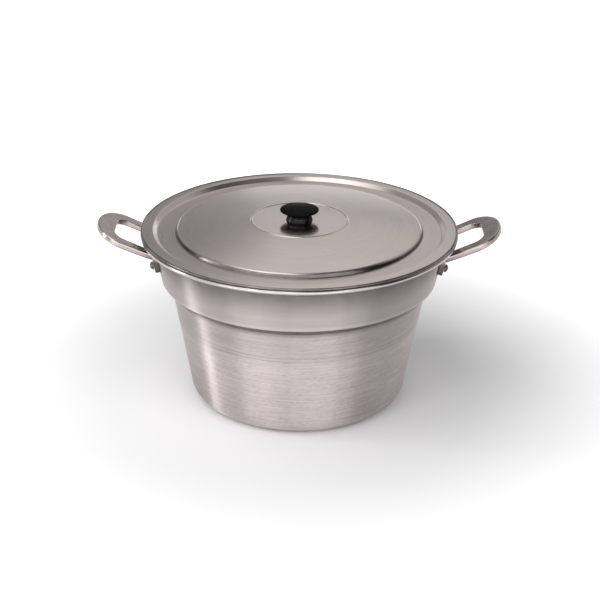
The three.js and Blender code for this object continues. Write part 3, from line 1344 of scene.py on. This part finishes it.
    def casting(self) -> Mesh:
        """The handle on the +X side, seated on the collar and drilled.

        Returns:
            The mesh.
        """
        blank = self.blank()
        low, high = self.pot.shoulder.imag, self.pot.height
        clear = GAP / cos(self.pot.flare)
        cone = outline(path(
            (0, low),
            (self.pot.collar_radius(low) + clear, low),
            (self.pot.collar_radius(high) + clear, high),
            (0, high),
        ))
        tools = [linked("collar_seat", turned("collar_seat", cone, self.pot.facets))]
        radius, end = self.rivet_shank / 2 + GAP, self.drill_reach
        drill = outline(path((0, -end), (radius, -end), (radius, end), (0, end)))
        for turn in (self.foot_turn, -self.foot_turn):
            bore = turned("rivet_bore", drill, self.drill_facets)
            bore.transform(self.seat(turn))
            tools.append(linked("rivet_bore", bore))
        return smooth(cut(blank, tools, "handle"), self.sharp)

    def build(self) -> list[Object]:
        """Builds both handles.

        Returns:
            The right and the left handle, dressed.
        """
        right = self.casting()
        left = right.copy()
        left.transform(Matrix.Rotation(pi, 4, "Z"))
        metal = HANDLE_CASTING.material()
        sides = (("handle_casting_right", right), ("handle_casting_left", left))
        return [dressed(name, mesh, metal) for name, mesh in sides]


@dataclass
class Rivets:
    """Domed rivets through the handles' feet and the wall."""

    handle: Handle
    head: float = 9.6
    head_height: float = 4.0
    tail: float = 9.0
    tail_height: float = 2.0
    count: int = 4
    facets: int = 40

    @staticmethod
    def dome(width: float, height: float, seat: float, start: float) -> list[complex]:
        """A quarter of an oval on a seat, from a start angle."""
        quarter = arc(0j, 1.0, start, QUARTER)
        return [complex(p.real * width / 2, p.imag * height + seat) for p in quarter]

    def profile(self) -> list[complex]:
        """A rivet's outline.

        Returns:
            Its points, from the upset tail inside the pot to the domed head.
        """
        wall_radius = self.handle.pot.collar_radius(self.handle.rivet_height)
        sag = self.tail**2 / (8 * wall_radius)
        tail_seat = -(self.handle.pot.wall + sag + GAP)
        head_seat = self.handle.foot_face + GAP
        shank = self.handle.rivet_shank / 2
        tail = self.dome(self.tail, self.tail_height, tail_seat, -QUARTER)
        head = self.dome(self.head, self.head_height, head_seat, 0.0)
        return [*tail, complex(shank, tail_seat), complex(shank, head_seat), *head]

    def build(self) -> Object:
        """Sets a rivet in every foot.

        Returns:
            The rivets as one piece, dressed.
        """
        mesh = smooth(turned("rivet_pattern", self.profile(), self.facets))
        pattern = linked("rivet_pattern", mesh)
        handle = self.handle
        tree = Tree("rivets")
        rivet = tree.size("Rivet", pattern, "NodeSocketObject")
        turn = tree.size("Foot Turn", handle.foot_turn)
        reach = tree.size("Wall Radius", handle.pot.collar_radius(handle.rivet_height) * MM)
        height = tree.size("Rivet Height", handle.rivet_height * MM)
        flare = tree.size("Collar Flare", handle.pot.flare)
        index = tree.node("GeometryNodeInputIndex")
        side = (index / 2).floor()
        azimuth = side * pi + (index - side * 2 - 0.5) * 2 * turn
        cosine, sine = (tree.math(part, azimuth) for part in ("COSINE", "SINE"))
        lean, droop = (tree.math(part, flare) for part in ("COSINE", "SINE"))
        place = tree.vector(cosine * reach, sine * reach, height)
        square = tree.vector(cosine * lean, sine * lean, 0 - droop)
        points = tree.node("GeometryNodePoints", {"Count": self.count, "Position": place})
        upright = tree.node("FunctionNodeAlignRotationToVector", {"Vector": square}, axis="Z")
        shape = tree.node("GeometryNodeObjectInfo", {"Object": rivet}).out("Geometry")
        sockets = {"Points": points, "Instance": shape, "Rotation": upright}
        placed = tree.node("GeometryNodeInstanceOnPoints", sockets)
        tree.finished(placed, {0: RIVET_METAL.material()})
        rivets = tree.run("rivets", bpy.data.meshes.new("rivet_points"))
        bpy.data.objects.remove(pattern)
        return linked("rivets", rivets)


# The lid


@dataclass
class Lid:
    """The lid: its pressed shell, the knob and the knob's fixing."""

    pot: Pot
    inset: float = 0.7
    bead: float = 2.6
    wall: float = 1.2
    fillet: float = 1.6
    well_inset: float = 14.5
    well_run: float = 4.6
    well_depth: float = 3.9
    flange_fall: float = 0.7
    step_outer: float = 141.0
    step_inner: float = 139.4
    step_round: float = 4.4
    step_foot: float = 0.4
    step_height: float = 4.2
    dome_rise: float = 7.8
    dome_steps: int = 26
    ring_radius: float = 54.6
    ring_width: float = 2.4
    ring_height: float = 0.6
    ring_steps: int = 12
    facets: int = 360
    spacing: float = 8.0
    knob_diameter: float = 44.2
    knob_height: float = 13.9
    knob_edge_height: float = 12.5
    knob_edge: float = 1.5
    knob_fillet: float = 0.9
    knob_facets: int = 128
    crown_inset: float = 1.5
    crown_steps: int = 12
    knob_neck: float = 29.6
    neck_ease: float = 0.5
    neck_fillet: float = 0.3
    stem_ease: float = 0.3
    stem_height: float = 3.4
    stem_fillet: float = 6.0
    knob_waist: float = 27.4
    knob_waist_height: float = 7.4
    waist_fillet: float = 2.6
    insert_diameter: float = 10.0
    insert_length: float = 7.0
    screw_diameter: float = 5.0
    screw_grip: float = 6.0
    screw_head: float = 9.2
    screw_head_height: float = 2.8
    screw_head_fillet: float = 1.6
    screw_edge: float = 0.8
    slot_width: float = 1.2
    slot_depth: float = 1.2
    washer_diameter: float = 15.0
    washer_thickness: float = 1.0
    washer_edge: float = 0.25
    fixing_facets: int = 64
    fixing_sharp: float = radians(30)

    @property
    def bead_centre(self) -> complex:
        """The centre of the lid's rolled edge."""
        radius = self.pot.rim_radius - self.inset - self.bead / 2
        return complex(radius, self.pot.height + GAP + self.bead / 2)

    @property
    def rolled(self) -> list[complex]:
        """The rolled edge, from under the flange round to its top."""
        return bead(self.bead_centre, self.bead / 2, 1 + 0j, self.wall)

    @property
    def flange_top(self) -> float:
        """The height of the flange's top face."""
        return self.bead_centre.imag + self.wall / 2

    @property
    def disc_top(self) -> float:
        """The height of the disc under the knob."""
        return self.flange_top - self.well_depth + self.step_height + self.dome_rise

    @property
    def knob_base(self) -> float:
        """The height of the knob's foot."""
        return self.disc_top + GAP

    @property
    def screw_hole(self) -> float:
        """The radius of the hole for the screw."""
        return self.screw_diameter / 2 + GAP

    def top_corners(self) -> list[Corner]:
        """The lid's top face.

        Returns:
            Its corners, from the screw hole out to the rolled edge.
        """
        well_top = self.flange_top - self.well_depth
        plateau = well_top + self.step_height
        well = self.pot.rim_radius - self.well_inset
        half_ring = self.ring_width / 2
        ring = []
        for i in range(self.ring_steps + 1):
            angle = pi * i / self.ring_steps
            height = self.disc_top + self.ring_height * sin(angle) ** 2
            ring.append((self.ring_radius - half_ring * cos(angle), height))
        inner, outer = self.ring_radius + half_ring, self.step_inner - 2 * self.step_round
        span = self.step_inner**2 - inner**2
        dome = []
        for i in range(1, self.dome_steps):
            radius = inner + (outer - inner) * i / self.dome_steps
            rise = self.dome_rise * (self.step_inner**2 - radius**2) / span
            dome.append((radius, plateau + rise))
        return path(
            (self.screw_hole, self.disc_top),
            *ring,
            *dome,
            (self.step_inner, plateau, self.step_round),
            (self.step_outer, well_top, self.step_foot),
            (well - self.well_run, well_top, self.fillet),
            (well, self.flange_top + self.flange_fall, self.fillet),
            (self.rolled[0].real, self.flange_top),
        )

    def build_shell(self) -> Object:
        """Builds the pressed shell.

        Returns:
            The shell, dressed.
        """
        top = self.top_corners()
        under = spaced(outline(offset(top, -self.wall)), self.spacing)[:-1]
        upper = spaced(outline(top)[::-1][1:], self.spacing)
        profile = [*under, *self.rolled, *upper]
        mesh = smooth(turned("lid_shell_sheet", profile, self.facets, closed=True))
        return dressed("lid_sheet", mesh, LID_SHEET.material())

    def build_knob(self) -> Object:
        """Builds the mushroom knob, hollow below for its bush.

        Returns:
            The knob, dressed.
        """
        base = self.knob_base
        bush = self.insert_diameter / 2 + GAP
        ceiling = base + self.insert_length + GAP
        half, waist = self.knob_diameter / 2, self.knob_waist / 2
        lip = base + self.knob_edge_height
        rise = self.knob_height - self.knob_edge_height
        crown = []
        for i in range(1, self.crown_steps + 1):
            left = 1 - i / self.crown_steps
            crown.append(((half - self.crown_inset) * left, lip + rise * (1 - left**2)))
        profile = outline(path(
            (0, ceiling),
            (bush, ceiling),
            (bush, base),
            (self.knob_neck / 2 + self.neck_ease, base, self.neck_fillet),
            (waist + self.stem_ease, base + self.stem_height, self.stem_fillet),
            (waist, base + self.knob_waist_height, self.waist_fillet),
            (half, lip - self.knob_edge, self.knob_fillet),
            (half, lip, self.knob_fillet),
            *crown,
        ))
        mesh = smooth(turned("knob", profile, self.knob_facets))
        return dressed("knob_moulding", mesh, KNOB_PHENOLIC.material())

    def screw(self, seat: float) -> Mesh:
        """A slotted pan-head screw.

        Args:
            seat: the height of the face that its head bears on.

        Returns:
            The mesh.
        """
        under, tip = seat - self.screw_head_height, self.knob_base + self.screw_grip
        head, shank = self.screw_head / 2, self.screw_diameter / 2
        pan = outline(path(
            (0, under),
            (head, under, self.screw_head_fillet),
            (head, seat),
            (shank, seat),
            (shank, tip - self.screw_edge),
            (shank - self.screw_edge, tip),
            (0, tip),
        ))
        blank = linked("screw_blank", turned("screw", pan, self.fixing_facets))
        slot = bmesh.new()
        bmesh.ops.create_cube(slot, size=1.0)
        size = Vector((2 * self.screw_head, self.slot_width, 2 * self.slot_depth)) * MM
        bmesh.ops.scale(slot, vec=size, verts=slot.verts)
        bmesh.ops.translate(slot, vec=(0, 0, under * MM), verts=slot.verts)
        return cut(blank, [linked("screw_slot", from_bmesh(slot, "screw_slot"))], "knob_screw_pan")

    def build_fixing(self) -> list[Object]:
        """Builds the screw and the washer under the lid.

        Returns:
            The screw and the washer, dressed.
        """
        top = self.disc_top - self.wall - GAP
        low = top - self.washer_thickness
        rim, edge = self.washer_diameter / 2, self.washer_edge
        section = outline(path(
            (self.screw_hole, low),
            (rim - edge, low),
            (rim, low + edge),
            (rim, top - edge),
            (rim - edge, top),
            (self.screw_hole, top),
        ))
        screw = self.screw(low - GAP)
        washer = turned("knob_washer_plain", section, self.fixing_facets, closed=True)
        steel = PLATED_STEEL.material()
        pieces = (("knob_screw_slotted", screw), ("knob_washer_plain", washer))
        return [dressed(name, smooth(mesh, self.fixing_sharp), steel) for name, mesh in pieces]


# Studio


@dataclass(frozen=True)
class Softbox:
    """A soft lamp that faces the pot, its azimuth from the viewer's side, positive to the right."""

    name: str
    azimuth: float
    elevation: float
    distance: float
    width: float
    height: float
    radiance: float

    def hang(self, aim: Vector) -> None:
        """Hangs the lamp.

        Args:
            aim: the place that it faces.
        """
        lamp = bpy.data.lights.new(self.name, "AREA")
        lamp.shape = "RECTANGLE"
        lamp.size, lamp.size_y = self.width, self.height
        lamp.energy = self.radiance * pi * self.width * self.height
        turn, rise = radians(self.azimuth), radians(self.elevation)
        level = cos(rise) * self.distance
        place = Vector((sin(turn) * level, -cos(turn) * level, sin(rise) * self.distance))
        shown = linked(self.name, lamp)
        shown.location = place
        shown.rotation_euler = (place - aim).to_track_quat("Z", "Y").to_euler()
        shown.visible_camera = False


@dataclass
class Studio:
    """Camera, lamps, world and the paper sweep that the pot stands on."""

    target: tuple[float, float, float] = (0.00154, 0.0, 0.1125)
    distance: float = 1.8
    elevation: float = radians(24.184)
    roll: float = radians(0.527)
    lens: float = 92.694
    sensor: float = 36.0
    floor: float = -0.2
    floor_hub: float = 40.0
    floor_radius: float = 3200.0
    floor_spacing: float = 400.0
    sweep: float = 900.0
    sweep_step: float = radians(6)
    wall_height: float = 2600.0
    facets: int = 96
    paper: StudioPaper = StudioPaper()
    world: float = 0.06
    aim: tuple[float, float, float] = (0.0, 0.0, 0.1)
    lamps: tuple[Softbox, ...] = (
        Softbox("front_left_softbox", -31.5, 34.0, 2.4, 1.8, 2.0, 1.45),
        Softbox("front_right_softbox", 13.5, 34.0, 2.4, 1.8, 2.0, 1.45),
        Softbox("front_left_low_softbox", -31.5, 6.0, 2.4, 1.8, 0.45, 3.5),
        Softbox("front_right_low_softbox", 13.5, 6.0, 2.4, 1.8, 0.45, 3.5),
        Softbox("right_softbox", 45.0, 32.0, 2.4, 0.7, 2.2, 1.5),
        Softbox("left_softbox", -72.0, 32.0, 2.4, 1.5, 1.7, 1.2),
        Softbox("left_strip", -90.0, 18.0, 2.2, 0.2, 1.2, 13.0),
        Softbox("spark", -34.0, 40.0, 2.2, 0.1, 0.1, 60.0),
        Softbox("top_softbox", -81.0, 74.0, 2.4, 1.6, 1.3, 2.0),
        Softbox("front_top_softbox", -30.0, 66.0, 2.4, 1.2, 0.8, 1.6),
        Softbox("back_softbox", 180.0, 22.0, 2.6, 2.5, 1.7, 0.29),
        Softbox("back_low_softbox", 168.0, 8.0, 2.6, 1.6, 0.6, 0.82),
        Softbox("back_left_low_softbox", -157.0, 9.0, 2.6, 0.36, 0.5, 1.5),
        Softbox("back_right_low_softbox", 157.0, 9.0, 2.6, 0.36, 0.5, 1.1),
        Softbox("back_middle_softbox", 172.0, 33.0, 2.5, 0.98, 0.8, 0.54),
        Softbox("back_top_softbox", 180.0, 53.0, 2.4, 1.3, 1.0, 0.95),
        Softbox("back_left_top_softbox", -126.0, 34.0, 2.4, 2.2, 1.5, 0.36),
        Softbox("back_right_top_softbox", 126.0, 34.0, 2.4, 2.2, 1.5, 0.54),
    )

    def set_camera(self) -> None:
        """Sets the camera at the viewing angle, for a square picture."""
        back = Vector((0, -cos(self.elevation), sin(self.elevation)))
        level_up = Vector((0, sin(self.elevation), cos(self.elevation)))
        level_right = Vector((1, 0, 0))
        right = level_right * cos(self.roll) + level_up * sin(self.roll)
        up = level_up * cos(self.roll) - level_right * sin(self.roll)
        data = bpy.data.cameras.new("viewer")
        data.lens = self.lens
        data.sensor_width = self.sensor
        camera = linked("viewer", data)
        turn = Matrix((right, up, back)).transposed().to_4x4()
        camera.matrix_world = Matrix.Translation(Vector(self.target) + back * self.distance) @ turn
        bpy.context.scene.camera = camera

    def set_world(self) -> None:
        """Sets a dim, even surround."""
        world = bpy.data.worlds.new("studio_surround")
        world.use_nodes = True
        net = Net(world.node_tree)
        net.tree.nodes.clear()
        glow = net.node("ShaderNodeBackground", {"Color": WHITE, "Strength": self.world})
        net.node("ShaderNodeOutputWorld", {"Surface": glow})
        bpy.context.scene.world = world

    def set_paper(self) -> None:
        """Lays the paper sweep, which faces up and in."""
        centre = complex(self.floor_radius, self.floor + self.sweep)
        bend = arc(centre, self.sweep, -QUARTER, QUARTER, self.sweep_step)
        flat = spaced([complex(self.floor_hub, self.floor), bend[0]], self.floor_spacing)
        edge = complex(self.floor_radius + self.sweep, self.floor + self.wall_height)
        line = [complex(0, self.floor), *flat, *bend[1:], edge]
        mesh = turned("paper_sweep", line, self.facets)
        mesh.flip_normals()
        mesh.shade_smooth()
        sweep = dressed("paper_sweep", mesh, self.paper.material())

    def build(self) -> None:
        """Builds the whole studio."""
        bpy.context.scene.view_settings.view_transform = "Standard"
        self.set_camera()
        self.set_world()
        self.set_paper()
        for lamp in self.lamps:
            lamp.hang(Vector(self.aim))


# Assembly


class Body(Enum):
    """The bodies that move by themselves."""

    POT = "pot"
    LID = "lid"


def stand_in(piece: Object, body: Body, slot: str, *nodes: str) -> None:
    """Lets a piece ride on a body in place of its nodes.

    Args:
        piece: the dressed piece.
        body: what it rides on.
        slot: the name of a material slot; not used.
        nodes: the nodes that it stands for.
    """
    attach(piece, body.value)
    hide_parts(*nodes)
    faces = len(piece.data.polygons)
    LOG.info("%s on %s for %s: %d faces", piece.name, body.value, ", ".join(nodes), faces)


def main() -> None:
    """Builds the studio, the pot and the lid in order."""
    logging.basicConfig(level=logging.INFO, format="%(name)s: %(message)s")
    Studio().build()
    pot = Pot()
    handle = Handle(pot)
    lid = Lid(pot)
    stand_in(pot.build_shell(), Body.POT, "spun_aluminium", "pot_body")
    for casting, node in zip(handle.build(), ("handle_right", "handle_left")):
        stand_in(casting, Body.POT, "cast_aluminium", node)
    stand_in(
        Rivets(handle).build(),
        Body.POT,
        "rivet_aluminium",
        "rivet_right_front",
        "rivet_right_back",
        "rivet_left_front",
        "rivet_left_back",
    )
    stand_in(lid.build_shell(), Body.LID, "pressed_aluminium", "lid_shell")
    stand_in(lid.build_knob(), Body.LID, "black_phenolic", "lid_knob")
    for piece, node in zip(lid.build_fixing(), ("knob_screw", "knob_washer")):
        stand_in(piece, Body.LID, "plated_steel", node)
    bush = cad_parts["knob_insert"]
    bush.data.materials.clear()
    bush.data.materials.append(BUSH_BRASS.material())


if __name__ == "__main__":
    main()
